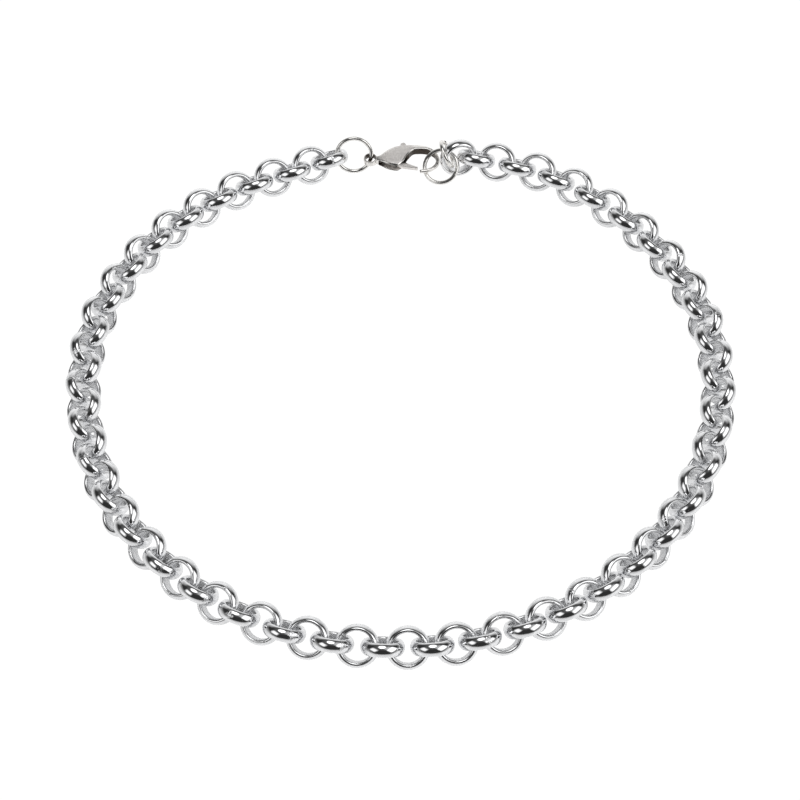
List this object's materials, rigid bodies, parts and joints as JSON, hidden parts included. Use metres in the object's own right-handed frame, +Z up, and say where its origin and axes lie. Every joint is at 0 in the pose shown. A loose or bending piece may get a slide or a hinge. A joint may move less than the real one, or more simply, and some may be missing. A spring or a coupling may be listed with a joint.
{
  "type": "rolo chain necklace",
  "caption": "Closed loop of round half-round-section rolo links with jump rings and a sprung lobster clasp, laid flat in an oval ring.",
  "frame": {"origin": "the middle of the laid necklace's box, on the surface that it lies on", "axes": "+X to the wearer's-left end of the laid loop, +Y from the loop's front towards the clasp, +Z up from the surface"},
  "size_m": [0.1448, 0.1404, 0.0089],
  "materials": {
    "link_metal": "polished outside, satin inside",
    "ring_metal": "bright nickel plate",
    "clasp_metal": "satin nickel plate with bright edges",
    "lever_metal": "bright nickel plate",
    "pin_metal": "bright nickel plate"
  },
  "bodies": {
    "necklace": {"chain": "link_metal", "eye_ring": "ring_metal", "hook_ring": "ring_metal", "end_ring": "ring_metal", "clasp_body": "clasp_metal", "clasp_pin": "pin_metal"},
    "lever": {"clasp_lever": "lever_metal"}
  },
  "joints": [
    {"name": "lever_pivot", "type": "hinge", "parent": "necklace", "child": "lever", "pos_m": [-0.00051, 0.06455, 0.003], "axis": [0, 0, 1], "range_deg": [0, 22], "stiffness_Nm_per_rad": 0.02, "springref_deg": -14.32}
  ]
}
